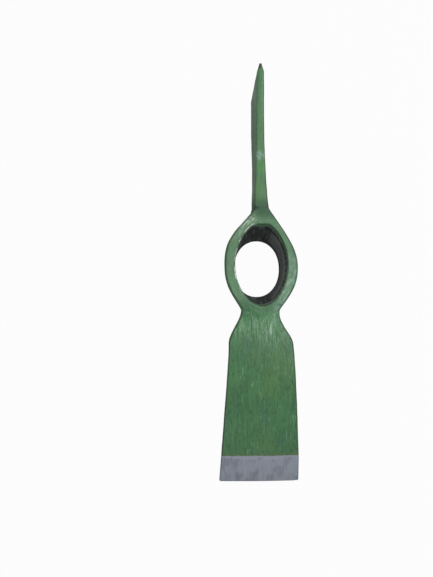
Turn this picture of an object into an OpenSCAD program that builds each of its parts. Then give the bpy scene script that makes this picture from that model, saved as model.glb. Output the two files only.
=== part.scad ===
// Cutter mattock head: an oval handle eye with a collar under it, an axe blade on one side and an adze
// blade on the other. Sizes are in millimetres. The handle's axis is Z: the foot of the collar is at z = 0
// and the mouth of the eye is at the top. +X points to the axe edge and -X to the adze edge, and the head
// is the same on both sides of the plane y = 0.

/* [Eye] */
// Length of the eye at its mouth, along the head
eye_mouth_length = 70; // [66:0.5:78]
// Width of the eye at its mouth
eye_mouth_width = 45; // [40:0.5:50]
// Length of the eye at the foot of the collar
eye_foot_length = 53; // [48:0.5:60]
// Width of the eye at the foot of the collar
eye_foot_width = 43; // [38:0.5:46]
// How far the middle of the mouth is set towards the axe
mouth_set = 1.5; // [0:0.25:2.5]
// How much of the mouth's point is cut square at the axe end
eye_square = 2; // [0.5:0.25:4]
// Easing of the edges at the mouth and at the foot
eye_round = 1.2; // [0.5:0.1:2]

/* [Band] */
// Height of the head, from the foot of the collar to the top of the band
head_height = 56; // [52:0.5:64]
// Height of the band round the mouth
band_height = 15; // [12:0.5:20]
// Thickness of the band's cheeks beside the mouth
cheek_wall = 9.1; // [7:0.1:12]
// Length of the band's stub between the mouth and the weld at the axe root
axe_stub_length = 14.5; // [14:0.5:20]
// Length of the band's stub between the mouth and the weld at the adze root
adze_stub_length = 11.5; // [10.5:0.25:14]
// How far the band's top falls towards the adze root
band_fall = 3.5; // [2:0.25:5]
// Rounding of the band's edges
band_round = 1.4; // [0.5:0.1:2]

/* [Collar] */
// Thickness of the collar's wall at its foot
collar_foot_wall = 5; // [4:0.25:7]
// How far the band's cheeks stand proud of the collar
collar_step = 1.5; // [0.8:0.1:2.5]
// Metal between the ends of the mouth and the ends of the collar, under the band
collar_end_wall = 10.5; // [9:0.25:12]
// How far the outside of the collar is set towards the axe
collar_set = 1.5; // [0:0.25:2.5]
// Rounding of the outer edge at the collar's foot
collar_round = 1; // [0.4:0.1:1.5]

/* [Axe] */
// Distance from the handle's axis to the upper corner of the axe edge
axe_reach = 175; // [150:1:200]
// How far the axe's back stands above the band
axe_rise = 1.5; // [0.5:0.1:3]
// Height of the axe edge, measured along the handle
axe_edge_height = 57; // [46:0.5:57]
// How far the lower corner of the axe edge is set back
axe_edge_rake = 8; // [0:0.5:16]
// Height of the axe blade at its root, without the hook
axe_root_height = 38; // [32:0.5:41]
// How far the axe's lower edge hooks up at its root
axe_hook = 2.7; // [1:0.1:4]
// Thickness of the axe blade at its root
axe_root_thickness = 12.4; // [10:0.2:14]
// Thickness of the axe blade near its edge
axe_thickness = 6.2; // [5:0.1:8]
// Thickness left at the axe edge
axe_edge_thickness = 1.6; // [1:0.1:2.4]
// Length of the bevel at the axe edge
axe_bevel_length = 7; // [4:0.5:12]
// Length of the steel bit that carries the axe edge
axe_bit_length = 24; // [18:0.5:36]

/* [Adze] */
// Distance from the handle's axis to the adze edge
adze_reach = 203; // [180:1:230]
// Width of the adze neck beside the band
adze_neck_width = 33.2; // [29:0.2:38]
// Width of the adze shoulders
adze_shoulder_width = 56.4; // [50:0.2:64]
// Distance from the handle's axis to the adze shoulders
adze_shoulder_reach = 67; // [62:0.5:76]
// Width of the adze edge
adze_edge_width = 76; // [64:0.5:90]
// Thickness of the adze blade
adze_thickness = 6.6; // [5.5:0.1:8]
// Thickness of the adze blade at its root
adze_root_thickness = 10.2; // [8.5:0.1:11]
// Length of the swelling towards the adze root
adze_swell_length = 26; // [15:1:40]
// Thickness left at the adze edge
adze_edge_thickness = 2.6; // [1.5:0.1:3.5]
// Slope of the adze blade at its root, in degrees
adze_root_slope = 3.8; // [1:0.1:6]
// Radius of the adze blade's curve
adze_bend_radius = 430; // [380:1:600]
// Length of the ground steel bit that carries the adze edge
adze_bit_length = 33; // [24:0.5:40]

/* [Blades] */
// Length of the tongues that the bits have inside the blades
tongue_length = 13; // [8:0.5:18]
// Thickness of the blade's lips over a tongue
tongue_lip = 1.2; // [0.8:0.1:1.6]
// Rounding of the blades' long edges
blade_round = 1.5; // [0.6:0.1:2.2]

/* [Hidden] */
paint = "#5d8f63";
shaded_paint = "#4c7652";
steel = "#8d929b";
band_steps = 44;
axe_steps = 22;
adze_steps = 34;
oval_steps = 64;
corner_steps = 3;
cut_margin = 2;
zone_margin = 20;
band_swell = 2.3;
band_swell_end = 1.35;
mouth_power = 1.86;
foot_power = 2.1;
collar_power = 1.7;
square_bow = 0.13;
fall_lead = 1.5;
neck_lead = 7;
bevel_lead = 1.5;
web_seat = 2.5;
web_slope = 0.82;
axe_hook_part = 0.15;
axe_taper_power = 3;
thin_round_part = 0.9;
collar_height = head_height - band_height;
band_half_width = eye_mouth_width / 2 + cheek_wall;
axe_mouth_end = eye_mouth_length / 2 + mouth_set;
adze_mouth_end = eye_mouth_length / 2 - mouth_set;
axe_root_reach = axe_mouth_end + axe_stub_length;
adze_root_reach = adze_mouth_end + adze_stub_length;
fall_start = adze_mouth_end - fall_lead;
axe_top = head_height + axe_rise;
axe_length = axe_reach - axe_root_reach;
axe_edge_low = axe_top - axe_edge_height;
axe_line_low = axe_top - axe_root_height;
axe_root_low = axe_line_low + axe_hook;
axe_rake_angle = atan(axe_edge_rake / axe_edge_height);
axe_bevel_part = 1 - axe_bevel_length / axe_length;
adze_neck_reach = adze_root_reach - neck_lead;
adze_root_top = head_height - band_fall;
adze_bevel_depth = adze_thickness - adze_edge_thickness;
adze_edge_angle = asin((adze_reach - adze_root_reach + adze_bend_radius * sin(adze_root_slope))
  / (adze_bend_radius - adze_bevel_depth));
adze_length = adze_bend_radius * (adze_edge_angle - adze_root_slope) * PI / 180;
adze_bit_start = adze_length - adze_bit_length;
adze_bevel_start = adze_bit_start + bevel_lead;
web_inner = axe_mouth_end + web_seat;

function lerp(a, b, t) = a + (b - a) * t;
function ease(t) = let (u = min(1, max(0, t))) u * u * (3 - 2 * u);

// Outline of a section: its first value runs from the lower face to the upper face, its second across
function section(height, half, r) = let (turns = [for (i = [0:corner_steps]) 90 * i / corner_steps])
  concat(
    [for (a = turns) [r - r * cos(a), half - r + r * sin(a)]],
    [for (a = turns) [height - r + r * sin(a), half - r + r * cos(a)]],
    [for (a = turns) [height - r + r * cos(a), r - half - r * sin(a)]],
    [for (a = turns) [r - r * sin(a), r - half - r * cos(a)]]);

// Half the width of the adze at a distance from the handle's axis: neck, shoulders and nearly straight sides
function adze_side(d) = lerp(adze_shoulder_width, adze_edge_width,
  (d - adze_shoulder_reach) / (adze_reach - adze_shoulder_reach)) / 2;
function adze_half(d) = lerp(adze_neck_width / 2, adze_side(d),
  ease((d - adze_neck_reach) / (adze_shoulder_reach - adze_neck_reach)));

// Band: sections run from the adze root to the axe root, swelling round the eye from the width of each blade
function swelled(root, t) = lerp(root, band_half_width, pow(1 - pow(min(1, t), band_swell), band_swell_end));
function band_half(x) = x > 0 ? swelled(axe_root_thickness / 2, x / axe_root_reach)
  : swelled(adze_half(-x), -x / adze_neck_reach);
function band_ring(x) = let (
    height = band_height - band_fall * ease((-x - fall_start) / (adze_root_reach - fall_start)))
  [for (p = section(height, band_half(x), band_round)) [x, p[1], collar_height + p[0]]];

// Ovals: the tapered eye, and the outside of the collar
function oval(a, b, power, shift, square, z) = [for (i = [0:oval_steps - 1]) let (
    c = cos(360 * i / oval_steps), s = sin(360 * i / oval_steps),
    x = (c > 0 ? a + square : a) * sign(c) * pow(abs(c), 2 / power),
    end = a - square_bow * square)
  [shift + (x > end ? end + square_bow * (x - end) : x), b * sign(s) * pow(abs(s), 2 / power), z]];
function eye_ring(z, grow) = let (t = z / head_height)
  oval(lerp(eye_foot_length, eye_mouth_length, t) / 2 + grow,
    lerp(eye_foot_width, eye_mouth_width, t) / 2 + grow,
    lerp(foot_power, mouth_power, t), mouth_set * t, max(0, eye_square * t), z);
function collar_ring(z, inset) = let (t = z / collar_height)
  oval(lerp(eye_foot_length / 2 + collar_foot_wall, eye_mouth_length / 2 + collar_end_wall, t) - inset,
    lerp(eye_foot_width / 2 + collar_foot_wall, band_half_width - collar_step, t) - inset,
    lerp(foot_power, collar_power, t), collar_set, 0, z);

// Axe: sections run from the root at s = 0 to the raked edge at s = 1
function axe_half(s) = s > axe_bevel_part
  ? lerp(axe_thickness, axe_edge_thickness, (s - axe_bevel_part) / (1 - axe_bevel_part)) / 2
  : lerp(axe_thickness / 2, band_half(axe_root_reach), pow(1 - s, axe_taper_power));
function axe_low(s) = lerp(axe_line_low, axe_edge_low, s) + axe_hook * pow(max(0, 1 - s / axe_hook_part), 2);
function axe_ring(s) = let (
    low = [axe_root_reach + (axe_length - axe_edge_rake) * s, axe_low(s)],
    top = [axe_root_reach + axe_length * s, axe_top],
    height = norm(top - low),
    half = axe_half(s))
  [for (p = section(height, half, min(blade_round, thin_round_part * half)))
    let (f = lerp(low, top, p[0] / height)) [f[0], p[1], f[1]]];

// Adze: sections run along a curve that starts at the root and falls away to the edge
function adze_angle(s) = adze_root_slope + s / adze_bend_radius * 180 / PI;
function adze_top(s) = [
  -adze_root_reach - adze_bend_radius * (sin(adze_angle(s)) - sin(adze_root_slope)),
  adze_root_top - adze_bend_radius * (cos(adze_root_slope) - cos(adze_angle(s)))];
function adze_up(s) = s == 0 ? [0, 1] : [-sin(adze_angle(s)), cos(adze_angle(s))];
function adze_depth(s) = adze_thickness
  + (adze_root_thickness - adze_thickness) * pow(max(0, 1 - s / adze_swell_length), 2);
function adze_bevel(s) = adze_bevel_depth * max(0, s - adze_bevel_start) / (adze_length - adze_bevel_start);
function adze_ring(s) = let (
    top = adze_top(s) - adze_up(s) * adze_bevel(s),
    height = adze_depth(s) - adze_bevel(s),
    low = top - adze_up(s) * height)
  [for (p = section(height, adze_half(-top[0]), min(blade_round, thin_round_part * height / 2)))
    let (f = low + adze_up(s) * p[0]) [f[0], -p[1], f[1]]];

// Solid through a list of rings, each running counter-clockwise when seen from the last ring's side
module loft(rings) {
  n = len(rings[0]);
  last = len(rings) - 1;
  polyhedron(
    points = [for (ring = rings) each ring],
    faces = concat(
      [[for (i = [0:n - 1]) i]],
      [for (k = [0:last - 1], i = [0:n - 1]) let (here = k * n, next = here + n, j = (i + 1) % n)
        each [[here + i, next + i, next + j], [here + i, next + j, here + j]]],
      [[for (i = [n - 1:-1:0]) last * n + i]]));
}

// The space that the handle fills, opening out at the mouth and at the foot
module eye_space() loft([
  eye_ring(-cut_margin, eye_round + cut_margin),
  eye_ring(eye_round, 0),
  eye_ring(head_height / 2, 0),
  eye_ring(head_height - eye_round, 0),
  eye_ring(head_height + cut_margin, eye_round + cut_margin)]);

// Web under the axe root, between the collar and the weld
module axe_web() rotate([90, 0, 0])
  linear_extrude(2 * band_half(axe_root_reach) - 2 * band_round, center = true) polygon([
    [web_inner, axe_root_low + web_slope * (axe_root_reach - web_inner)],
    [axe_root_reach, axe_root_low],
    [axe_root_reach, collar_height],
    [web_inner, collar_height]]);

module axe_form() loft([
  for (i = [0:axe_steps]) axe_ring(axe_bevel_part * i / axe_steps),
  axe_ring(1)]);

module adze_form() loft([
  for (i = [0:adze_steps]) adze_ring(adze_bevel_start * i / adze_steps),
  adze_ring((adze_bevel_start + adze_length) / 2),
  adze_ring(adze_length)]);

// Everything from a bit's weld to beyond its edge, with a tongue that reaches back into the blade
module bit_zone(thickness, length, width) {
  half = thickness / 2 - tongue_lip;
  linear_extrude(width + 2 * zone_margin, center = true) polygon([
    [0, zone_margin], [0, half], [-tongue_length, 0], [0, -half], [0, -zone_margin],
    [length + zone_margin, -zone_margin], [length + zone_margin, zone_margin]]);
}

module axe_bit_zone() translate([axe_reach - axe_bit_length, 0, axe_top]) rotate([0, axe_rake_angle, 0])
  translate([0, 0, -axe_edge_height / 2]) bit_zone(axe_thickness, axe_bit_length, axe_edge_height);

module adze_bit_zone() {
  middle = adze_top(adze_bit_start) - adze_up(adze_bit_start) * adze_thickness / 2;
  translate([middle[0], 0, middle[1]]) rotate([0, -adze_angle(adze_bit_start), 0])
    rotate([90, 0, 180]) bit_zone(adze_thickness, adze_bit_length, adze_edge_width);
}

// Oval band round the mouth of the eye, with a stub for each blade
module eye_band() color(paint) difference() {
  loft([for (i = [0:band_steps]) band_ring(lerp(-adze_root_reach, axe_root_reach, i / band_steps))]);
  eye_space();
}

// Tapered collar that grips the handle under the band
module handle_collar() color(shaded_paint) difference() {
  union() {
    loft([collar_ring(0, collar_round), collar_ring(collar_round, 0), collar_ring(collar_height, 0)]);
    axe_web();
  }
  eye_space();
}

// Axe blade, welded to the band and to the collar's web
module axe_blade() color(paint) difference() {
  axe_form();
  axe_bit_zone();
}

// Steel bit with the axe edge
module axe_bit() color(paint) intersection() {
  axe_form();
  axe_bit_zone();
}

// Adze blade, welded to the band
module adze_blade() color(paint) difference() {
  adze_form();
  adze_bit_zone();
}

// Ground steel bit with the adze edge
module adze_bit() color(steel) intersection() {
  adze_form();
  adze_bit_zone();
}

eye_band();
handle_collar();
axe_blade();
axe_bit();
adze_blade();
adze_bit();
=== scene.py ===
import math

import bpy
import numpy as np
from mathutils import Matrix, Vector
from mathutils.kdtree import KDTree


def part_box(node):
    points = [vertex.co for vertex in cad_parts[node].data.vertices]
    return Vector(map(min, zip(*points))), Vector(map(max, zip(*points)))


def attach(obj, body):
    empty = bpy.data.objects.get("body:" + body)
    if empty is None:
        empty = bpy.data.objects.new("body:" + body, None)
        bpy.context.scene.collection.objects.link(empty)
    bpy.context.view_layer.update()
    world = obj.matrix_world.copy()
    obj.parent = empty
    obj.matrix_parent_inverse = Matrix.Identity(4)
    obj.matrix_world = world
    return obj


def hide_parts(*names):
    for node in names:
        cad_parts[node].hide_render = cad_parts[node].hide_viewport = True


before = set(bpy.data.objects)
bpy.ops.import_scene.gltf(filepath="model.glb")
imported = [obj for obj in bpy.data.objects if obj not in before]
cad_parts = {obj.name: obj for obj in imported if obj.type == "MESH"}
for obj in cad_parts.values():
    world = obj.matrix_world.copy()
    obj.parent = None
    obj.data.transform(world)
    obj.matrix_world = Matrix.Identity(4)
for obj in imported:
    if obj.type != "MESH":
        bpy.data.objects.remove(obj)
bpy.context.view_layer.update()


# Adze blade and its bit: a flat bar of carbon steel, drawn out wide towards the edge, bent to a shallow
# arc and forge welded to the eye band. The last 33 mm are a bit of harder steel, bevelled on the outer face.
# Forms are in millimetres: each function gives the distance to a form's surface, negative inside the form.
MM = 0.001
adze_box = np.array(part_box("adze_blade")) / MM
adze_bit_box = np.array(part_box("adze_bit")) / MM
adze_root = -adze_box[1, 0]
adze_root_top = adze_box[1, 2]
adze_reach = -adze_bit_box[0, 0]
adze_edge_width = 2 * adze_bit_box[1, 1]
adze_neck_width = 33.2
adze_neck_reach = 38.0
adze_shoulder_width = 56.4
adze_shoulder_reach = 67.0
adze_thickness = 6.6
adze_root_thickness = 10.2
adze_swell_length = 26.0
adze_bevel_depth = 4.0
adze_bevel_set = 1.5
adze_bit_length = 33.0
adze_crown = 0.5
adze_corner = 2.0
adze_inner = 38.0
adze_bend = 430.0
adze_slope = math.radians(3.8)
blade_round = 1.5
thin_round_part = 0.9
thin_round_least = 0.2
bend_x = adze_bend * math.sin(adze_slope) - adze_root
bend_z = adze_root_top - adze_bend * math.cos(adze_slope)
adze_edge_angle = math.asin((adze_reach + bend_x) / (adze_bend - adze_bevel_depth))
adze_length = adze_bend * (adze_edge_angle - adze_slope)
adze_bit_start = adze_length - adze_bit_length
adze_bevel_start = adze_bit_start + adze_bevel_set


def lerp(a, b, t):
    return a + (b - a) * t


def ease(t):
    t = np.clip(t, 0.0, 1.0)
    return t * t * (3.0 - 2.0 * t)


def inside_both(a, b, radius):
    """The space inside two forms, with the edge between them rounded."""
    u, v = a + radius, b + radius
    return np.minimum(np.maximum(u, v), 0.0) + np.hypot(np.maximum(u, 0.0), np.maximum(v, 0.0)) - radius


def adze_half(d):
    """Half the adze's width at a distance from the handle's axis."""
    side = lerp(adze_shoulder_width, adze_edge_width,
                (d - adze_shoulder_reach) / (adze_reach - adze_shoulder_reach))
    return lerp(adze_neck_width, side,
                ease((d - adze_neck_reach) / (adze_shoulder_reach - adze_neck_reach))) / 2


def adze_place(x, z):
    """Distance along the adze from its root, and height above its outer face."""
    along = adze_bend * (np.arctan2(bend_x - x, z - bend_z) - adze_slope)
    return along, np.hypot(x - bend_x, z - bend_z) - adze_bend


def adze_form(x, y, z):
    along, above = adze_place(x, z)
    depth = lerp(adze_thickness, adze_root_thickness, np.clip(1 - along / adze_swell_length, 0, 1) ** 2)
    bevel_share = (along - adze_bevel_start) / (adze_length - adze_bevel_start)
    bevel = adze_bevel_depth * np.maximum(0, bevel_share)
    crown = adze_crown * (2 * y / adze_edge_width) ** 2
    slab = np.maximum(above + bevel + crown, -above - depth)
    plan = inside_both(np.abs(y) - adze_half(-x), along - adze_length, adze_corner)
    edge_round = np.clip(thin_round_part * (depth - bevel) / 2, thin_round_least, blade_round)
    return np.maximum(inside_both(plan, slab, edge_round), x + adze_inner)


# Axe blade and its bit: a bar forged on edge, so that it cuts in line with the handle. It tapers from a
# thick root to a thin raked edge, its back stands 1.5 mm over the band, and its lower edge hooks up at the
# weld. Its bit is a strip of harder steel along the edge.
axe_box = np.array(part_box("axe_blade")) / MM
axe_bit_box = np.array(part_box("axe_bit")) / MM
axe_root = axe_box[0, 0]
axe_top = axe_box[1, 2]
axe_reach = axe_bit_box[1, 0]
axe_edge_low = axe_bit_box[0, 2]
axe_line_low = 19.5
axe_hook = 2.7
axe_hook_part = 0.15
axe_rake = 8.0
axe_root_half = 6.2
axe_half = 3.1
axe_edge_half = 0.8
axe_edge_round = 0.4
axe_bevel_length = 7.0
axe_bevel_most = 1.2
axe_bit_length = 24.0
axe_length = axe_reach - axe_root
axe_lap = 0.3
axe_twist = 1.5
axe_twist_start = 70.0
axe_twist_end = 130.0
axe_share_rounds = 3


def axe_share(x, z):
    """Share of the way from the axe's root to its raked edge, and the height of its lower edge there."""
    s = (x - axe_root) / axe_length
    for _ in range(axe_share_rounds):
        low = lerp(axe_line_low, axe_edge_low, s) + axe_hook * np.clip(1 - s / axe_hook_part, 0, 1) ** 2
        share = np.clip((z - low) / (axe_top - low), 0, 1)
        s = (x - axe_root) / (axe_length - axe_rake * (1 - share))
    return s, low


def axe_form(x, y, z):
    s, low = axe_share(x, z)
    bevel = np.clip(1 + (s - 1) * axe_length / axe_bevel_length, 0, axe_bevel_most)
    half = lerp(axe_half, axe_root_half, (1 - np.clip(s, 0, 1)) ** 3)
    half = lerp(half, axe_edge_half, bevel)
    slab = np.maximum(z - axe_top, low - z)
    form = inside_both(np.abs(y) - half, slab, np.minimum(blade_round, thin_round_part * half))
    form = inside_both(form, (s - 1) * axe_length, axe_edge_round)
    return np.maximum(form, axe_root - axe_lap - x)


# Eye band: the heavy oval ring round the mouth of the eye, drawn out of the same bar as the blades' stubs
# and opened over a drift. Its cheeks stand proud of the collar, and its top falls away towards the adze.
band_box = np.array(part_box("eye_band")) / MM
band_foot = band_box[0, 2]
band_top = band_box[1, 2]
band_half_width = band_box[1, 1]
band_swell = 2.3
band_swell_end = 1.35
band_fall = band_top - adze_root_top
band_fall_start = 24.0
band_fall_end = 50.0
band_rise_length = 14.0
band_round = 2.0
neck_start = 39.0
neck_length = 11.0
neck_fillet_start = 32.0


def band_half(x):
    """Half the band's width, swelling round the eye from the width of each blade."""
    t = np.where(x > 0, x / axe_root, -x / adze_neck_reach)
    root = np.where(x > 0, axe_root_half, adze_half(-x))
    return lerp(root, band_half_width, (1 - np.minimum(1, t) ** band_swell) ** band_swell_end)


def band_height(x):
    """Height of the band's top: it rises to the axe's back and falls away to the adze."""
    rise = (axe_top - band_top) * ease((x - axe_root + band_rise_length) / band_rise_length)
    return band_top + rise - band_fall * ease((-x - band_fall_start) / (band_fall_end - band_fall_start))


def band_form(x, y, z):
    tilt = band_half(x + 0.5) - band_half(x - 0.5)
    side = (np.abs(y) - band_half(x)) / np.sqrt(1 + tilt ** 2)
    form = inside_both(side, np.maximum(z - band_height(x), band_foot - z), band_round)
    return np.maximum(form, x - axe_root - axe_lap)


# Handle collar: the tapered oval sleeve that grips the handle under the band, drawn down over the drift. A
# short web joins it to the axe root. The eye goes through band and collar and tapers towards the foot.
eye_foot_half = (26.5, 21.5)
eye_mouth_half = (35.0, 22.5)
mouth_set = 1.5
eye_square = 2.0
eye_round = 1.6
collar_foot_half = (31.5, 26.5)
collar_top_half = (45.5, 30.1)
collar_set = 1.5
collar_round = 1.4
collar_lap = 3.0
foot_power = 2.1
collar_power = 1.7
mouth_power = 1.86
web_inner = 39.0
web_half = (4.8, 6.2)
web_low = 22.2
web_slope = 0.82


def oval_gap(x, y, a, b, power):
    """Distance from an oval, measured towards its middle."""
    ratio = ((np.abs(x) / a) ** power + (np.abs(y) / b) ** power) ** (1 / power)
    return np.hypot(x, y) * (1 - 1 / np.maximum(ratio, 0.001))


def collar_form(x, y, z):
    t = z / band_foot
    half = [lerp(foot, top, t) for foot, top in zip(collar_foot_half, collar_top_half)]
    side = oval_gap(x - collar_set, y, *half, lerp(foot_power, collar_power, t))
    return inside_both(side, np.maximum(-z, z - band_foot - collar_lap), collar_round)


def web_form(x, y, z):
    lower = (web_low + web_slope * (axe_root - x) - z) / math.hypot(1, web_slope)
    half = lerp(*web_half, ease((x - web_inner) / (axe_root - web_inner)))
    form = inside_both(np.abs(y) - half, np.maximum(lower, z - band_foot - collar_lap), blade_round)
    return np.maximum(form, np.maximum(web_inner - x, x - axe_root - axe_lap))


def eye_form(x, y, z):
    t = z / band_top
    half = [lerp(foot, mouth, t) for foot, mouth in zip(eye_foot_half, eye_mouth_half)]
    off = x - mouth_set * t
    pointed = np.where(off > 0, half[0] + eye_square * t, half[0])
    gap = oval_gap(off, y, pointed, half[1], lerp(foot_power, mouth_power, t))
    return np.maximum(gap, off - half[0])


# Forging: the whole welded head, before it is cut into its pieces. The bars lean a little to either side,
# the forms run together in hollows, and one skin of small faces lies over them. On it come the hammer's
# waves, the crumpled folds at the axe root, and the runs where the paint lies thick on the neck.
collar_hollow = 1.4
neck_hollow = 6.0
web_hollow = (3.0, 0.3)
axe_hollow = (2.5, 0.2)
leans = ((25.0, 14.0, 1.5), (-50.0, 14.0, 1.6), (48.0, 9.0, -0.6), (175.0, 40.0, -0.8))
fold_y = (7.0, 2.0)
fold_z = (56.8, 58.3)
fold_radius = (1.3, 0.5)
nicks = (((175.4, 2.3, 58.2), 1.9), ((96.5, 5.0, 58.3), 1.7), ((-203.2, -35.2, 5.6), 1.6))
nick_round = 0.4
skin_step = 0.7
skin_margin = 2.0
skin_slices = 24
skin_rounds = 5
skin_evening = 0.5
least_slope = 0.1


def near(value, middle, reach):
    """1 in the middle, and almost nothing two reaches away."""
    return np.exp(-((value - middle) / reach) ** 2)


def run_together(a, b, hollow):
    """Two forms as one, with a hollow of that size between them."""
    return np.minimum(a, b) - np.maximum(hollow - np.abs(a - b), 0) ** 2 / (4 * hollow)


def fold_form(x, y, z):
    """The fold across the top of the axe root, open on one side and closing towards the other."""
    t = np.clip((y - fold_y[0]) / (fold_y[1] - fold_y[0]), 0, 1)
    off = np.hypot(x - axe_root, np.hypot(y - lerp(*fold_y, t), z - lerp(*fold_z, t)))
    return off - lerp(*fold_radius, t)


def head_form(x, y, z):
    leaned = y - sum(lean * near(x, middle, reach) for middle, reach, lean in leans)
    twisted = ease((x - axe_twist_start) / (axe_twist_end - axe_twist_start))
    leaned = leaned - axe_twist * twisted * (axe_top - z) / (axe_top - axe_edge_low)
    to_adze = ease((-x - neck_start) / neck_length)
    bar = lerp(band_form(x, leaned, z), adze_form(x, leaned, z), to_adze)
    hollow = lerp(collar_hollow, neck_hollow, ease((-x - neck_fillet_start) / neck_length))
    body = run_together(bar, collar_form(x, y, z), hollow)
    to_axe = ease((x - web_inner) / (axe_root - web_inner))
    body = run_together(body, web_form(x, leaned, z), lerp(*web_hollow, to_axe))
    above_web = ease((z - band_foot + band_round) / (2 * band_round))
    body = run_together(body, axe_form(x, leaned, z), lerp(*axe_hollow, above_web))
    body = inside_both(body, -fold_form(x, y, z), nick_round)
    for middle, radius in nicks:
        off = np.hypot(x - middle[0], np.hypot(y - middle[1], z - middle[2]))
        body = inside_both(body, radius - off, nick_round)
    return inside_both(body, -eye_form(x, y, z), eye_round)


def form_slope(points, form, reach=0.05):
    """How fast the distance to a form grows along each axis, which is the way its surface faces."""
    x, y, z = points.T
    return np.stack([
        form(x + reach, y, z) - form(x - reach, y, z),
        form(x, y + reach, z) - form(x, y - reach, z),
        form(x, y, z + reach) - form(x, y, z - reach)], axis=1) / (2 * reach)


def settle(points, form):
    """Moves points on to a form's surface."""
    slope = form_slope(points, form)
    off = np.clip(form(*points.T), -skin_step, skin_step)
    return points - (off / np.maximum((slope ** 2).sum(axis=1), least_slope))[:, None] * slope


def skin(form, low, high):
    """Points and four-sided faces of the surface of a form, evenly spread."""
    axes = [np.arange(a - skin_margin, b + skin_margin + skin_step, skin_step) for a, b in zip(low, high)]
    value = np.concatenate([
        form(*np.meshgrid(part, axes[1], axes[2], indexing="ij"))
        for part in np.array_split(axes[0], skin_slices)])
    solid = value < 0
    nx, ny, nz = (n - 1 for n in value.shape)
    corners = [(i, j, k) for i in (0, 1) for j in (0, 1) for k in (0, 1)]
    filled = sum(solid[i:i + nx, j:j + ny, k:k + nz].astype(int) for i, j, k in corners)
    cells = np.argwhere((filled > 0) & (filled < len(corners)))
    number = np.full((nx, ny, nz), -1)
    number[tuple(cells.T)] = np.arange(len(cells))
    total, hits = np.zeros(cells.shape), np.zeros(len(cells))
    for corner in corners:
        for axis in [k for k in range(3) if corner[k] == 0]:
            way = np.eye(3, dtype=int)[axis]
            here = value[tuple((cells + corner).T)]
            there = value[tuple((cells + corner + way).T)]
            crosses = (here < 0) != (there < 0)
            share = np.where(crosses, here / np.where(crosses, here - there, 1), 0)
            total += (cells + corner + way * share[:, None]) * crosses[:, None]
            hits += crosses
    points = np.array([a[0] for a in axes]) + skin_step * total / hits[:, None]
    faces = []
    for axis in range(3):
        way, u, v = np.roll(np.eye(3, dtype=int), -axis, axis=0)
        here = solid[:nx, :ny, :nz]
        there = np.roll(solid, -1, axis=axis)[:nx, :ny, :nz]
        edges = np.argwhere(here != there)
        ring = np.stack([number[tuple((edges + step).T)] for step in (-u - v, -v, 0 * u, -u)], axis=1)
        out = here[tuple(edges.T)]
        faces.append(np.where(out[:, None], ring, ring[:, ::-1]))
    faces = np.concatenate(faces)
    links = np.concatenate([faces[:, [k, (k + 1) % 4]] for k in range(4)])
    count = len(points)
    neighbours = np.bincount(links.ravel(), minlength=count)
    for _ in range(skin_rounds):
        spread = np.stack([
            np.bincount(links[:, 0], points[links[:, 1], k], count)
            + np.bincount(links[:, 1], points[links[:, 0], k], count) for k in range(3)], axis=1)
        evened = lerp(points, spread / neighbours[:, None], skin_evening)
        points = settle(settle(evened, form), form)
    return points, faces


node_boxes = np.array([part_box(name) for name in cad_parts]) / MM
points, faces = skin(head_form, node_boxes[:, 0].min(axis=0), node_boxes[:, 1].max(axis=0))
forging_mesh = bpy.data.meshes.new("forging")
forging_mesh.from_pydata(points * MM, [], faces)
forging = bpy.data.objects.new("forging", forging_mesh)
bpy.context.scene.collection.objects.link(forging)


def node(tree, kind, links=(), **settings):
    """Adds a node with its settings; links are pairs of an input and a value, a node or a socket."""
    made = tree.nodes.new(kind)
    for name, value in settings.items():
        setattr(made, name, value)
    for socket, value in links:
        if isinstance(value, bpy.types.Node):
            tree.links.new(value.outputs[0], made.inputs[socket])
        elif isinstance(value, bpy.types.NodeSocket):
            tree.links.new(value, made.inputs[socket])
        else:
            made.inputs[socket].default_value = value
    return made


noise_middle = 0.5
forge_marks = {
    "Seed": 3.0,
    "Wave length": 28 * MM, "Wave width": 22 * MM, "Wave depth": 0.7 * MM,
    "Mark length": 8 * MM, "Mark width": 6 * MM, "Mark depth": 0.22 * MM,
    "Fold length": 3.5 * MM, "Fold width": 5 * MM, "Fold depth": 1.6 * MM,
    "Run length": 12 * MM, "Run width": 2.3 * MM, "Run depth": 1.3 * MM}


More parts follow.
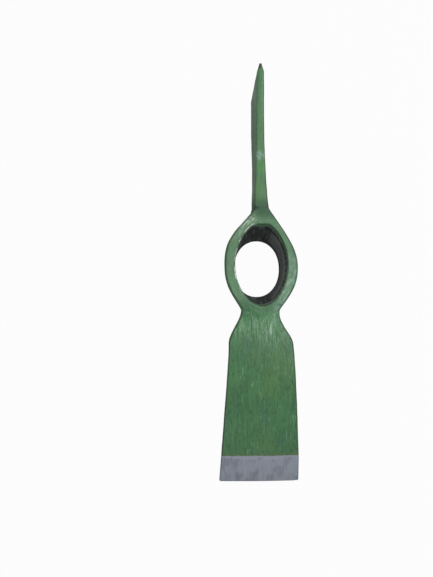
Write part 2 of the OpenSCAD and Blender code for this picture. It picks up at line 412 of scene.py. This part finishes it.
def forge_marks_tree():
    """Raises and sinks a forged surface by four noises, each where its own attribute says."""
    tree = bpy.data.node_groups.new("forge_marks", "GeometryNodeTree")
    tree.interface.new_socket(name="Geometry", in_out="INPUT", socket_type="NodeSocketGeometry")
    for name in forge_marks:
        tree.interface.new_socket(name=name, in_out="INPUT", socket_type="NodeSocketFloat")
    tree.interface.new_socket(name="Material", in_out="INPUT", socket_type="NodeSocketMaterial")
    tree.interface.new_socket(name="Geometry", in_out="OUTPUT", socket_type="NodeSocketGeometry")
    given = node(tree, "NodeGroupInput").outputs
    place = node(tree, "GeometryNodeInputPosition")
    height = 0.0
    for mark in ("Wave", "Mark", "Fold", "Run"):
        width = given[mark + " width"]
        size = node(tree, "ShaderNodeCombineXYZ", [
            ("X", given[mark + " length"]), ("Y", width), ("Z", width)])
        scaled = node(tree, "ShaderNodeVectorMath", [(0, place), (1, size)], operation="DIVIDE")
        noise = node(tree, "ShaderNodeTexNoise", [
            ("Vector", scaled), ("W", given["Seed"]), ("Scale", 1.0), ("Detail", 1.0)],
            noise_dimensions="4D")
        where = node(tree, "GeometryNodeInputNamedAttribute", [("Name", mark.lower())], data_type="FLOAT")
        level = node(tree, "ShaderNodeMath", [(0, noise), (1, noise_middle)], operation="SUBTRACT")
        deep = node(tree, "ShaderNodeMath", [(0, level), (1, given[mark + " depth"])], operation="MULTIPLY")
        height = node(tree, "ShaderNodeMath", [(0, deep), (1, where), (2, height)],
                      operation="MULTIPLY_ADD")
    normal = node(tree, "GeometryNodeInputNormal")
    shift = node(tree, "ShaderNodeVectorMath", [(0, normal), ("Scale", height)], operation="SCALE")
    moved = node(tree, "GeometryNodeSetPosition", [("Geometry", given["Geometry"]), ("Offset", shift)])
    real = node(tree, "GeometryNodeRealizeInstances", [("Geometry", moved)])
    covered = node(tree, "GeometryNodeSetMaterial", [("Geometry", real), ("Material", given["Material"])])
    node(tree, "NodeGroupOutput", [("Geometry", covered)])
    return tree


def set_values(mesh, name, values):
    kind, field = ("FLOAT", "value") if values.ndim == 1 else ("FLOAT_VECTOR", "vector")
    mesh.attributes.new(name, kind, "POINT").data.foreach_set(field, values.astype(np.float32).ravel())


def values_of(items, field, width=3):
    """A field of a mesh's vertices, faces or corners, as rows of numbers."""
    flat = np.empty(len(items) * width)
    items.foreach_get(field, flat)
    return flat.reshape(-1, width)


def unit(rows):
    return rows / np.linalg.norm(rows, axis=1)[:, None]


def evaluated_copy(thing, name):
    """A plain mesh of an object with its modifiers applied."""
    graph = bpy.context.evaluated_depsgraph_get()
    mesh = bpy.data.meshes.new_from_object(thing.evaluated_get(graph))
    mesh.name = name
    return mesh


def linear(code):
    """A colour written as an sRGB hex value, for a socket."""
    parts = [int(code[i:i + 2], 16) / 255 for i in (1, 3, 5)]
    return (*[c / 12.92 if c < 0.04045 else ((c + 0.055) / 1.055) ** 2.4 for c in parts], 1.0)


enamel_rough = (0.22, 0.42)
enamel_specular = 0.4
brush_relief = 0.3 * MM
brush_strength = 0.5
dash_relief = 0.7
eye_raggedness = 0.6
wheel_raggedness = 0.8


def brushed_green_enamel():
    """Alkyd enamel brushed on thick over forge scale: half gloss, with fine streaks along the adze and
    fainter ones elsewhere. It stops inside the rim of the eye, and just before the weld of the adze bit the
    wheel took it off. Rust and painted shade darken the crease under the band. Painted shade darkens the
    edges, the fold and the root of the axe and the collar under the band, painted light brightens the eye's
    right wall, and painted highlights and sheen lie on the neck, the band and the eye's left rim."""
    paint = bpy.data.materials.new("brushed_green_enamel")
    paint.use_nodes = True
    tree = paint.node_tree
    shader = tree.nodes["Principled BSDF"]
    place = node(tree, "ShaderNodeTexCoord").outputs["Object"]
    grain = node(tree, "ShaderNodeAttribute", attribute_name="grain").outputs["Vector"]
    noises = {}
    for name, source, size in (
            ("cloud", grain, (30, 16, 16)), ("warm", grain, (50, 22, 22)), ("cool", grain, (24, 12, 40)),
            ("brush", grain, (18, 1.6, 1.6)), ("dark dash", grain, (4.5, 1.1, 1.1)),
            ("pale dash", grain, (6, 1.0, 1.0)), ("patch", grain, (24, 15, 15)),
            ("fleck", grain, (12, 0.8, 0.8)), ("mottle", grain, (4, 2.8, 2.8)), ("rim_highlight_breaks", grain, (4, 30, 30)),
            ("scale", grain, (22, 1.5, 1.5)), ("scale patch", grain, (16, 6, 6)),
            ("speck", place, (0.9, 0.9, 0.9)), ("collar_shade_patches", place, (11, 11, 16))):
        scaled = node(tree, "ShaderNodeVectorMath", [(0, source), (1, [1 / (s * MM) for s in size])],
                      operation="MULTIPLY")
        noises[name] = node(tree, "ShaderNodeTexNoise", [
            ("Vector", scaled), ("Scale", 1.0), ("Detail", 2.0)])
    spots = {}
    for name, middle in (
            ("chip", (95.5, 1.0, 57.5)), ("fresh", (85.0, -1.0, 57.5)), ("tip", (174.0, 0.0, 57.5)),
            ("worn cheek", (8.6, 31.6, 47.5))):
        spots[name] = node(tree, "ShaderNodeVectorMath", [(0, place), (1, Vector(middle) * MM)],
                           operation="DISTANCE").outputs["Value"]
    marks = {name: node(tree, "ShaderNodeAttribute", attribute_name=name).outputs["Fac"] for name in (
        "bare", "crease", "fold_shade", "edge", "scorch", "collar", "thick", "streaked", "glint", "rim",
        "wall_light", "ground", "root", "sheen")}
    ragged_end = node(tree, "ShaderNodeMath", [
        (0, noises["scale"]), (1, eye_raggedness), (2, marks["bare"])], operation="MULTIPLY_ADD")
    worn_line = node(tree, "ShaderNodeMath", [
        (0, noises["dark dash"]), (1, wheel_raggedness), (2, marks["ground"])], operation="MULTIPLY_ADD")
    shares = {}
    for name, source, none, full in (
            ("cloud", noises["cloud"], 0.3, 0.7), ("warm", noises["warm"], 0.45, 0.7),
            ("cool", noises["cool"], 0.48, 0.7), ("pale brush", noises["brush"], 0.52, 0.8),
            ("dark brush", noises["brush"], 0.48, 0.2), ("dark dash", noises["dark dash"], 0.55, 0.72),
            ("pale dash", noises["pale dash"], 0.58, 0.75), ("calm", noises["patch"], 0.58, 0.4),
            ("fleck", noises["fleck"], 0.52, 0.67), ("rim_highlight_breaks", noises["rim_highlight_breaks"], 0.42, 0.6),
            ("mottle", noises["mottle"], 0.28, 0.75), ("scale", noises["scale"], 0.5, 0.64),
            ("scale patch", noises["scale patch"], 0.34, 0.56), ("speck", noises["speck"], 0.4, 0.65),
            ("collar_shade_patches", noises["collar_shade_patches"], 0.45, 0.62), ("chip", spots["chip"], 6 * MM, 2 * MM),
            ("fresh", spots["fresh"], 8 * MM, 1 * MM), ("tip", spots["tip"], 5 * MM, 2.5 * MM),
            ("worn cheek", spots["worn cheek"], 8 * MM, 3 * MM),
            ("bare", ragged_end, 0.65, 0.95), ("crease", marks["crease"], 0.2, 0.8),
            ("fold_shade", marks["fold_shade"], 0.2, 0.8), ("edge", marks["edge"], 0.25, 0.9),
            ("scorch", marks["scorch"], 0.0, 1.0), ("collar", marks["collar"], 0.0, 1.0),
            ("streaked", marks["streaked"], 0.0, 1.0), ("glint", marks["glint"], 0.0, 1.0),
            ("rim", marks["rim"], 0.2, 0.7), ("wall_light", marks["wall_light"], 0.0, 1.0),
            ("ground", worn_line, 0.8, 1.0), ("root", marks["root"], 0.0, 1.0),
            ("thick", marks["thick"], 0.0, 1.0), ("sheen", marks["sheen"], 0.0, 1.0)):
        shares[name] = node(tree, "ShaderNodeMapRange", [
            ("Value", source), ("From Min", none), ("From Max", full)], interpolation_type="SMOOTHSTEP")
    colour = linear("#2a5731")
    for code, amount, *where in (
            ("#37693e", 1.0, "cloud"), ("#4d7238", 0.5, "warm"), ("#2c5c4c", 0.45, "cool"),
            ("#5c9060", 0.45, "pale brush", "streaked"), ("#1f4627", 0.55, "dark brush", "streaked"),
            ("#1c4025", 0.8, "dark dash", "streaked"), ("#82ac86", 0.75, "pale dash", "calm", "streaked"),
            # lighter green where the paint lies thick on the neck, partly painted sheen; darker green round
            # the axe root, painted shade
            ("#45754a", 0.45, "mottle"), ("#4f8a58", 0.3, "thick"), ("#1f4427", 0.85, "root"),
            # painted sheen on the right cheek and the shoulder, broken up in patches
            ("#86a38f", 0.5, "sheen", "mottle"), ("#4d5a2a", 0.55, "scorch"),
            # painted shade: on the collar under the band, and along the edges
            ("#37452a", 0.6, "collar", "collar_shade_patches"), ("#18231b", 0.7, "edge"),
            # painted glints on the neck and shoulder, a painted highlight on the eye's left rim, and rust
            # with painted shade in the crease
            ("#c9dccd", 0.6, "glint", "fleck"), ("#dde6e0", 0.85, "rim", "rim_highlight_breaks"), ("#2e2318", 0.9, "crease"),
            # painted shade in the fold at the axe root
            ("#14302b", 0.95, "fold_shade"), ("#4a8a3c", 0.35, "fresh"), ("#9fb8b8", 0.6, "chip", "speck"),
            ("#141618", 0.9, "tip"), ("#868b86", 0.85, "worn cheek", "speck"), ("#1c2323", 1.0, "bare"),
            # painted light on the bare scale of the eye's right wall
            ("#a9b1ab", 0.85, "bare", "wall_light"), ("#98a39d", 0.75, "bare", "scale", "scale patch"),
            ("#171b1b", 0.6, "bare", "speck"), ("#858b95", 1.0, "ground")):
        share = amount
        for name in where:
            share = node(tree, "ShaderNodeMath", [(0, share), (1, shares[name])], operation="MULTIPLY")
        colour = node(tree, "ShaderNodeMix", [("Factor", share), (6, colour), (7, linear(code))],
                      data_type="RGBA").outputs[2]
    tree.links.new(colour, shader.inputs["Base Color"])
    rough = node(tree, "ShaderNodeMapRange", [
        ("Value", noises["patch"]), ("To Min", enamel_rough[0]), ("To Max", enamel_rough[1])])
    for name, amount in (("thick", -0.1), ("root", 0.25), ("ground", 0.12), ("bare", 0.35)):
        rough = node(tree, "ShaderNodeMath", [(0, shares[name]), (1, amount), (2, rough)],
                     operation="MULTIPLY_ADD")
    shader.inputs["Specular IOR Level"].default_value = enamel_specular
    tree.links.new(rough.outputs[0], shader.inputs["Roughness"])
    tree.links.new(shares["ground"].outputs[0], shader.inputs["Metallic"])
    ridges = node(tree, "ShaderNodeMath", [
        (0, noises["dark dash"]), (1, dash_relief), (2, noises["brush"])], operation="MULTIPLY_ADD")
    ridges = node(tree, "ShaderNodeMath", [(0, ridges), (1, marks["streaked"])], operation="MULTIPLY")
    bump = node(tree, "ShaderNodeBump", [
        ("Height", ridges), ("Strength", brush_strength), ("Distance", brush_relief)])
    tree.links.new(bump.outputs["Normal"], shader.inputs["Normal"])
    return paint


thick_paint = (-49.0, 11.0)
run_depth = 3.0
root_folds = 8.0
fold_fade = 8.0
adze_wheel_fade = 10.0
axe_wheel_fade = 12.0
foot_fade = 6.0
enamel = brushed_green_enamel()
x, y, z = points.T
along, above = adze_place(x, z)
axe_s, _ = axe_share(x, z)
unground = ease((adze_bit_start - along) / adze_wheel_fade) \
    * ease((1 - axe_s) * axe_length / axe_wheel_fade) * ease(z / foot_fade)
set_values(forging_mesh, "wave", unground)
set_values(forging_mesh, "mark", unground)
set_values(forging_mesh, "fold", near(x, axe_root, root_folds) * ease((axe_top - z) / fold_fade))
set_values(forging_mesh, "run", near(x, *thick_paint) * ease((above + run_depth) / run_depth))
marked = forging.modifiers.new("forge_marks", "NODES")
marked.node_group = forge_marks_tree()
for socket in marked.node_group.interface.items_tree:
    if socket.in_out == "INPUT" and socket.name in forge_marks:
        marked[socket.identifier] = forge_marks[socket.name]
    elif socket.in_out == "INPUT" and socket.name == "Material":
        marked[socket.identifier] = enamel

# The finished skin faces the way its form does, tilted as far as the marks tilt the small faces.
smooth_facing = values_of(forging_mesh.vertices, "normal")
forging_mesh = evaluated_copy(forging, "forging")
forging.modifiers.clear()
forging.data = forging_mesh
marks_tilt = values_of(forging_mesh.vertices, "normal") - smooth_facing
skin_facing = unit(unit(form_slope(points, head_form)) + marks_tilt)
skin_places = KDTree(len(points))
for number, vertex in enumerate(forging_mesh.vertices):
    skin_places.insert(vertex.co, number)
skin_places.balance()


# Painted pieces: the band, the collar, both blades and the axe bit, cut from the forging at their welds.
# All wear the one coat of green enamel, which hides the welds. A pair of values for the paint is a place and
# the length over which a mark comes in or ends there, or a middle and a reach.
far = 300.0
side_rows = ((1, 0, 0), (0, 0, 1), (0, -1, 0))
tongue_length = 13.0
tongue_lip = 1.2
skin_agreement = 0.4
left_side = (0.0, 8.0)
eye_paint_from = 1.0
eye_paint_fade = (3.0, 10.0)
eye_ends = (12.0, 15.0)
# Painted light on the eye's right wall: the side it lies on, and the depths where it starts and ends.
wall_light_side = (6.0, 10.0)
wall_light_from = (10.0, 8.0)
wall_light_to = (50.0, 8.0)
rim_line = (0.6, 0.45)
rim_from = (-30.0, 10.0)
rim_to = (4.0, 2.0)
crease_reach = 1.5
crease_least = 0.35
crease_from = (-15.0, 15.0)
fold_shade_reach = 0.7
edge_reach = 1.2
bright_back_side = (0.0, 3.0)
bright_back_rise = 5.0
bright_ring_to = (6.0, 4.0)
neck_glint_along = (-54.0, 12.0)
neck_glint_across = (-4.0, 7.0)
neck_glint_from = (-2.0, 1.0)
shoulder_along = (36.0, 12.0)
shoulder_from = (2.0, 2.0)
shoulder_to = (5.0, 3.0)
cheek_side = (6.0, 8.0)
cheek_from = (-50.0, 10.0)
cheek_to = (18.0, 20.0)
sheen_to = (4.0, 3.0)
streak_least = 0.55
streak_from = (38.0, 12.0)
scorch_reach = 5.0
wheel_lap = 2.0
wheel_ramp = 4.0
collar_fade = 2.0
root_reach = 9.0
side_shift = 20.0
side_reach = 5.0
eye_wall = 0.3


def prism(name, outline, rows, origin):
    """A cutter: an outline in its first two axes, drawn out both ways along the third."""
    count = len(outline)
    local = [(u, v, w) for w in (-far, far) for u, v in outline]
    corners = [(np.array(origin) + np.array(p) @ np.array(rows)) * MM for p in local]
    sides = [(i, (i + 1) % count, count + (i + 1) % count, count + i) for i in range(count)]
    mesh = bpy.data.meshes.new(name)
    mesh.from_pydata(corners, [], [tuple(range(count))[::-1], tuple(range(count, 2 * count)), *sides])
    mesh.validate()
    thing = bpy.data.objects.new(name, mesh)
    bpy.context.scene.collection.objects.link(thing)
    return thing


def block(name, x_low, x_high, z_low, z_high):
    """A cutter between two places along the head and two heights."""
    return prism(name, [(x_low, z_low), (x_high, z_low), (x_high, z_high), (x_low, z_high)],
                 side_rows, (0, 0, 0))


def bit_outline(thickness):
    """From a bit's weld to beyond its edge, with the tongue that reaches back into the blade."""
    half = thickness / 2 - tongue_lip
    return [(0, far), (0, half), (-tongue_length, 0), (0, -half), (0, -far), (far, -far), (far, far)]


band_zone = block("band_zone", -adze_root, axe_root, band_foot, far)
collar_zone = block("collar_zone", -adze_root, axe_root, -far, band_foot)
axe_zone = block("axe_zone", axe_root, far, -far, far)
adze_zone = block("adze_zone", -far, -adze_root, -far, far)
rake_angle = math.atan2(axe_rake, axe_top - axe_edge_low)
rake_cos, rake_sin = math.cos(rake_angle), math.sin(rake_angle)
axe_bit_zone = prism("axe_bit_zone", bit_outline(2 * axe_half),
                     ((rake_cos, 0, -rake_sin), (0, 1, 0), (rake_sin, 0, rake_cos)),
                     (axe_reach - axe_bit_length, 0, axe_top))
bit_angle = adze_slope + adze_bit_start / adze_bend
bit_cos, bit_sin = math.cos(bit_angle), math.sin(bit_angle)
bit_middle = adze_bend - adze_thickness / 2
adze_bit_zone = prism("adze_bit_zone", bit_outline(adze_thickness),
                      ((-bit_cos, 0, -bit_sin), (-bit_sin, 0, bit_cos), (0, 1, 0)),
                      (bend_x - bit_middle * bit_sin, 0, bend_z + bit_middle * bit_cos))


def cut(name, *steps):
    """A piece of the forging: each step keeps or removes what lies in a cutter. It is shaded by the way the
    form faces, so that the shine runs on over the welds, and its cut faces are flat."""
    piece = bpy.data.objects.new(name, forging.data.copy())
    bpy.context.scene.collection.objects.link(piece)
    for operation, cutter in steps:
        made = piece.modifiers.new(operation.lower(), "BOOLEAN")
        made.operation, made.object, made.solver = operation, cutter, "MANIFOLD"
    mesh = evaluated_copy(piece, name)
    piece.modifiers.clear()
    piece.data = mesh
    mesh.shade_smooth()
    nearest = [skin_places.find(vertex.co)[1] for vertex in mesh.vertices]
    corner_vertex = values_of(mesh.loops, "vertex_index", 1)[:, 0].astype(int)
    smooth = skin_facing[nearest][corner_vertex]
    corner_counts = values_of(mesh.polygons, "loop_total", 1)[:, 0].astype(int)
    flat = np.repeat(values_of(mesh.polygons, "normal"), corner_counts, axis=0)
    on_skin = (smooth * flat).sum(axis=1) > skin_agreement
    mesh.normals_split_custom_set(np.where(on_skin[:, None], smooth, flat))
    return piece


def surface_points(piece):
    return values_of(piece.data.vertices, "co").T / MM


def past(value, start, length):
    """Nothing up to a place, and then rising to 1 over a length."""
    return ease((value - start) / length)


def short_of(value, end, length):
    """Nothing from a place on, and 1 until a length before it."""
    return ease((end - value) / length)


def mark_paint(piece):
    """Where the paint ends, is streaked or ground off, and where painted shade, painted light and painted
    highlights go on it, with rust in the crease; and which way its grain runs.
    """
    x, y, z = surface_points(piece)
    gap = eye_form(x, y, z)
    depth = band_height(x) - z
    along, above = adze_place(x, z)
    left = past(y, *left_side)
    eye_paint_end = lerp(*eye_paint_fade, past(np.abs(x), *eye_ends))
    here = head_form(x, y, z)
    bend = sum(head_form(x + i * edge_reach, y + j * edge_reach, z + k * edge_reach) - here for i, j, k in (
        (1, 0, 0), (-1, 0, 0), (0, 1, 0), (0, -1, 0), (0, 0, 1), (0, 0, -1)))
    # The painted edge shade is left off where a highlight runs: along the axe's back and the ring's left
    # rim.
    bright_back = past(y, *bright_back_side) * past(z, band_foot, bright_back_rise)
    bright_edge = np.where(x > axe_root, bright_back, left * short_of(gap, *bright_ring_to))
    crease = np.hypot(band_form(x, y, z), collar_form(x, y, z))
    fold = np.maximum(fold_form(x, y, z), 0)
    # Painted glints go on the neck and the band's left shoulder; the shoulder and the right cheek also take
    # painted sheen.
    neck = near(x, *neck_glint_along) * near(y, *neck_glint_across) * past(above, *neck_glint_from)
    shoulder = near(x, *shoulder_along) * left * past(gap, *shoulder_from) * short_of(depth, *shoulder_to)
    right_cheek = past(-y, *cheek_side) * past(x, *cheek_from) * short_of(x, *cheek_to)
    marks = {
        "bare": (1 - np.clip(gap, 0, 1)) * past(depth, eye_paint_from, eye_paint_end),
        # painted light on the eye's right wall, over the dark scale
        "wall_light": past(-y, *wall_light_side) * past(depth, *wall_light_from) * short_of(depth, *wall_light_to),
        # rim: a painted highlight along the eye's left inner rim, broken up in places
        "rim": near(gap, *rim_line) * left * past(x, *rim_from) * short_of(depth, *rim_to),
        # crease: dark brown in the crease under the band, part rust and part painted shade where the band
        # overhangs the collar
        "crease": near(crease, 0, crease_reach) * lerp(crease_least, 1.0, past(x, *crease_from)),
        # fold shade: painted shade in the fold across the axe root
        "fold_shade": near(fold, 0, fold_shade_reach),
        # edge: painted shade along the rounded edges, which turn away from the lamps
        "edge": np.clip(bend / edge_reach, 0, 1) * (1 - bright_edge),
        "glint": neck + shoulder,
        # sheen: painted sheen on the band's right cheek and left shoulder
        "sheen": (right_cheek + shoulder) * short_of(depth, *sheen_to),
        "streaked": lerp(streak_least, 1.0, past(-x, *streak_from)),
        "scorch": near(along, adze_bit_start, scorch_reach),
        "ground": np.clip((along - adze_bit_start + wheel_lap) / wheel_ramp + 0.5, 0, 1),
        # collar: painted shade on the collar under the band, in patches
        "collar": short_of(z, band_foot, collar_fade) * (np.abs(x) < adze_root),
        # thick: the paint lies thick on the neck, and its lighter green there is partly painted sheen
        "thick": near(x, *thick_paint),
        # root: painted shade round the axe root, where the blade meets the band
        "root": near(x, axe_root, root_reach)}
    for name, values in marks.items():
        set_values(piece.data, name, values)
    turn = np.abs(np.arctan2(y / eye_mouth_half[1], x / eye_mouth_half[0]))
    beside = side_shift * np.tanh(y / side_reach)
    along_bar = np.stack([x, y, np.where(x < -adze_root, above + adze_root_top, z)], axis=1)
    round_eye = np.stack([turn * band_half_width, gap, z + beside], axis=1)
    down_eye = np.stack([z, turn * band_half_width, beside], axis=1)
    on_ring = ((x > -neck_start) & (x < axe_root))[:, None]
    grain = np.where(on_ring, np.where((gap < eye_wall)[:, None], down_eye, round_eye), along_bar)
    set_values(piece.data, "grain", grain * MM)


painted_pieces = {
    "eye_band": ("band_forging", [("INTERSECT", band_zone)]),
    "handle_collar": ("collar_forging", [("INTERSECT", collar_zone)]),
    "axe_blade": ("axe_forging", [("INTERSECT", axe_zone), ("DIFFERENCE", axe_bit_zone)]),
    "axe_bit": ("axe_edge_steel", [("INTERSECT", axe_bit_zone)]),
    "adze_blade": ("adze_forging", [("INTERSECT", adze_zone), ("DIFFERENCE", adze_bit_zone)])}
for cad_node, (name, steps) in painted_pieces.items():
    piece = cut(name, *steps)
    mark_paint(piece)
    piece.data.materials.clear()
    piece.data.materials.append(enamel)
    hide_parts(cad_node)
    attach(piece, "root")


# Adze bit: bare high carbon steel, hardened and ground to its bevel on a wheel after the head was painted.
# The steel is dull and a little blue, and the wheel left fine lines from the weld to the edge.
steel_rough = (0.36, 0.52)
wheel_lines = 0.1 * MM
wheel_strength = 0.3
dark_edge = (31.4 * MM, 32.4 * MM)


def wheel_ground_steel():
    """Steel off a coarse wheel: a broad soft shine with fine lines, blotched where it was heated."""
    steel = bpy.data.materials.new("wheel_ground_steel")
    steel.use_nodes = True
    tree = steel.node_tree
    shader = tree.nodes["Principled BSDF"]
    place = node(tree, "ShaderNodeTexCoord").outputs["Object"]
    noises = {}
    for name, size in (("lines", (20, 1.0, 20)), ("blotch", (14, 9, 14))):
        scaled = node(tree, "ShaderNodeVectorMath", [(0, place), (1, [1 / (s * MM) for s in size])],
                      operation="MULTIPLY")
        noises[name] = node(tree, "ShaderNodeTexNoise", [
            ("Vector", scaled), ("Scale", 1.0), ("Detail", 2.0)])
    from_weld = node(tree, "ShaderNodeAttribute", attribute_name="from weld").outputs["Fac"]
    shares = {}
    for name, source, none, full in (
            ("lines", noises["lines"], 0.35, 0.7), ("blotch", noises["blotch"], 0.4, 0.65),
            ("edge", from_weld, *dark_edge)):
        shares[name] = node(tree, "ShaderNodeMapRange", [
            ("Value", source), ("From Min", none), ("From Max", full)], interpolation_type="SMOOTHSTEP")
    colour = linear("#858b95")
    for code, amount, name in (
            ("#666c78", 0.6, "blotch"), ("#9aa0a8", 0.35, "lines"), ("#3a3d42", 0.8, "edge")):
        share = node(tree, "ShaderNodeMath", [(0, shares[name]), (1, amount)], operation="MULTIPLY")
        colour = node(tree, "ShaderNodeMix", [("Factor", share), (6, colour), (7, linear(code))],
                      data_type="RGBA").outputs[2]
    tree.links.new(colour, shader.inputs["Base Color"])
    shader.inputs["Metallic"].default_value = 1.0
    rough = node(tree, "ShaderNodeMapRange", [
        ("Value", noises["blotch"]), ("To Min", steel_rough[0]), ("To Max", steel_rough[1])])
    tree.links.new(rough.outputs[0], shader.inputs["Roughness"])
    bump = node(tree, "ShaderNodeBump", [
        ("Height", noises["lines"]), ("Strength", wheel_strength), ("Distance", wheel_lines)])
    tree.links.new(bump.outputs["Normal"], shader.inputs["Normal"])
    return steel


adze_bit = cut("adze_edge_steel", ("INTERSECT", adze_bit_zone))
x, y, z = surface_points(adze_bit)
set_values(adze_bit.data, "from weld", (adze_place(x, z)[0] - adze_bit_start) * MM)
adze_bit.data.materials.clear()
adze_bit.data.materials.append(wheel_ground_steel())
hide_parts("adze_bit")
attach(adze_bit, "root")
for spent in (forging, band_zone, collar_zone, axe_zone, adze_zone, axe_bit_zone, adze_bit_zone):
    bpy.data.objects.remove(spent)


# Floor and sky: a white sweep under and around the head. It shows white to the camera and keeps a faint
# shadow, which is stronger where the paint mirrors it.
floor_reach = 6.0
shadow_reach = (0.35, 1.4)
floor_glow = (0.97, 1.0)
mirrored_glow = 0.16
sky_glow = (0.4, 1.0)
floor_mesh = bpy.data.meshes.new("floor")
floor_mesh.from_pydata([(-floor_reach, -floor_reach, 0), (floor_reach, -floor_reach, 0),
                        (floor_reach, floor_reach, 0), (-floor_reach, floor_reach, 0)], [], [(0, 1, 2, 3)])
floor = bpy.data.objects.new("floor", floor_mesh)
bpy.context.scene.collection.objects.link(floor)
white = bpy.data.materials.new("white_paper_sweep")
white.use_nodes = True
tree = white.node_tree
lit = tree.nodes["Principled BSDF"]
lit.inputs["Base Color"].default_value = linear("#848484")
lit.inputs["Roughness"].default_value = 0.9
glow = node(tree, "ShaderNodeEmission", [("Strength", 1.0)])
path = node(tree, "ShaderNodeLightPath")
place = node(tree, "ShaderNodeTexCoord").outputs["Object"]
off = node(tree, "ShaderNodeVectorMath", [(0, place)], operation="LENGTH").outputs["Value"]
near_share = node(tree, "ShaderNodeMapRange", [
    ("Value", off), ("From Min", shadow_reach[0]), ("From Max", shadow_reach[1]),
    ("To Min", floor_glow[0]), ("To Max", floor_glow[1])])
mirrored = node(tree, "ShaderNodeMath", [(0, path.outputs["Is Glossy Ray"]), (1, mirrored_glow)],
                operation="MULTIPLY")
seen = node(tree, "ShaderNodeMath", [
    (0, path.outputs["Is Camera Ray"]), (1, path.outputs["Is Transmission Ray"])], operation="MAXIMUM")
seen = node(tree, "ShaderNodeMath", [(0, seen), (1, mirrored)], operation="MAXIMUM")
glow_share = node(tree, "ShaderNodeMath", [(0, seen), (1, near_share)], operation="MULTIPLY")
mixed = node(tree, "ShaderNodeMixShader", [(0, glow_share), (1, lit.outputs[0]), (2, glow)])
tree.links.new(mixed.outputs[0], tree.nodes["Material Output"].inputs["Surface"])
floor_mesh.materials.append(white)

sky = bpy.data.worlds.new("soft_sky")
bpy.context.scene.world = sky
sky.use_nodes = True
tree = sky.node_tree
path = node(tree, "ShaderNodeLightPath")
seen = node(tree, "ShaderNodeMath", [
    (0, path.outputs["Is Camera Ray"]), (1, path.outputs["Is Glossy Ray"])], operation="MAXIMUM")
seen = node(tree, "ShaderNodeMath", [(0, seen), (1, path.outputs["Is Transmission Ray"])],
            operation="MAXIMUM")
strength = node(tree, "ShaderNodeMapRange", [
    ("Value", seen), ("To Min", sky_glow[0]), ("To Max", sky_glow[1])])
tree.links.new(strength.outputs[0], tree.nodes["Background"].inputs["Strength"])
tree.nodes["Background"].inputs["Color"].default_value = (1, 1, 1, 1)


# Light and camera: a lamp overhead gives the level faces a soft sheen, a stronger one from the axe's end
# and the right leaves the adze darker, and two small ones draw glints, on the neck and on the left edges.
# The view is down the handle's axis.
for name, place, size, power in (
        ("overhead_lamp", (-0.05, -0.12, 1.2), 0.5, 3.3),
        ("key_lamp", (0.55, -0.5, 0.9), 0.4, 6.0),
        ("glint_lamp", (-0.4, -0.3, 1.0), 0.06, 0.6),
        ("rim_lamp", (0.45, 0.7, 0.45), 0.08, 0.6)):
    lamp_data = bpy.data.lights.new(name, "AREA")
    lamp_data.size, lamp_data.energy = size, power
    lamp = bpy.data.objects.new(name, lamp_data)
    lamp.location = place
    lamp.rotation_euler = (-Vector(place)).to_track_quat("-Z", "Y").to_euler()
    bpy.context.scene.collection.objects.link(lamp)

photo_size = (433, 577)
photo_focus = 520.0
eye_pixel = (261.49, 266.96)
eye_distance = 446.93
camera_turn = [math.radians(a) for a in (0.05, 0.21, 0.56)]
turn = Matrix.Rotation(camera_turn[2], 3, "Z") @ Matrix.Rotation(camera_turn[1], 3, "Y") \
    @ Matrix.Rotation(camera_turn[0], 3, "X")
looking_down = Matrix(((0, -1, 0), (1, 0, 0), (0, 0, 1)))
camera_rows = turn @ looking_down
off_axis = Vector(((photo_size[0] / 2 - eye_pixel[0]) * eye_distance / photo_focus,
                   (eye_pixel[1] - photo_size[1] / 2) * eye_distance / photo_focus, eye_distance))
camera_data = bpy.data.cameras.new("camera")
camera_data.sensor_width = 36.0
camera_data.lens = photo_focus / max(photo_size) * camera_data.sensor_width
camera_data.clip_start = 0.01
camera = bpy.data.objects.new("camera", camera_data)
spot = (Vector((0, 0, band_top)) + camera_rows.transposed() @ off_axis) * MM
camera.matrix_world = Matrix.Translation(spot) @ camera_rows.transposed().to_4x4()
bpy.context.scene.collection.objects.link(camera)
bpy.context.scene.camera = camera
bpy.context.scene.view_settings.view_transform = "Standard"
